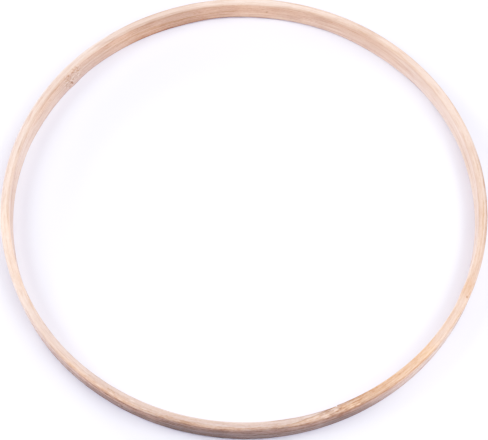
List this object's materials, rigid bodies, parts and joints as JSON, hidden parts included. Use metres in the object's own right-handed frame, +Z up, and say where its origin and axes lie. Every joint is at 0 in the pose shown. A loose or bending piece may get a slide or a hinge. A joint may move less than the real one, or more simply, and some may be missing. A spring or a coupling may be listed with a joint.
{
  "type": "embroidery hoop ring",
  "caption": "Plain bamboo embroidery hoop ring: a planed strip bent to a circle and closed by a glued scarf lap, with eased edges, for holding fabric round its rim.",
  "frame": {"origin": "centre of the ring, on the plane of its lower rim", "axes": "+Z up along the ring's axis; -Y faces the viewer of the picture and +X is to the viewer's right"},
  "size_m": [0.2, 0.2, 0.011],
  "materials": {
    "bamboo": "sanded bare bamboo, satin",
    "glue": "set wood adhesive, translucent amber"
  },
  "bodies": {
    "root": {"bamboo_strip": "bamboo", "glue_film": "glue"}
  },
  "joints": []
}
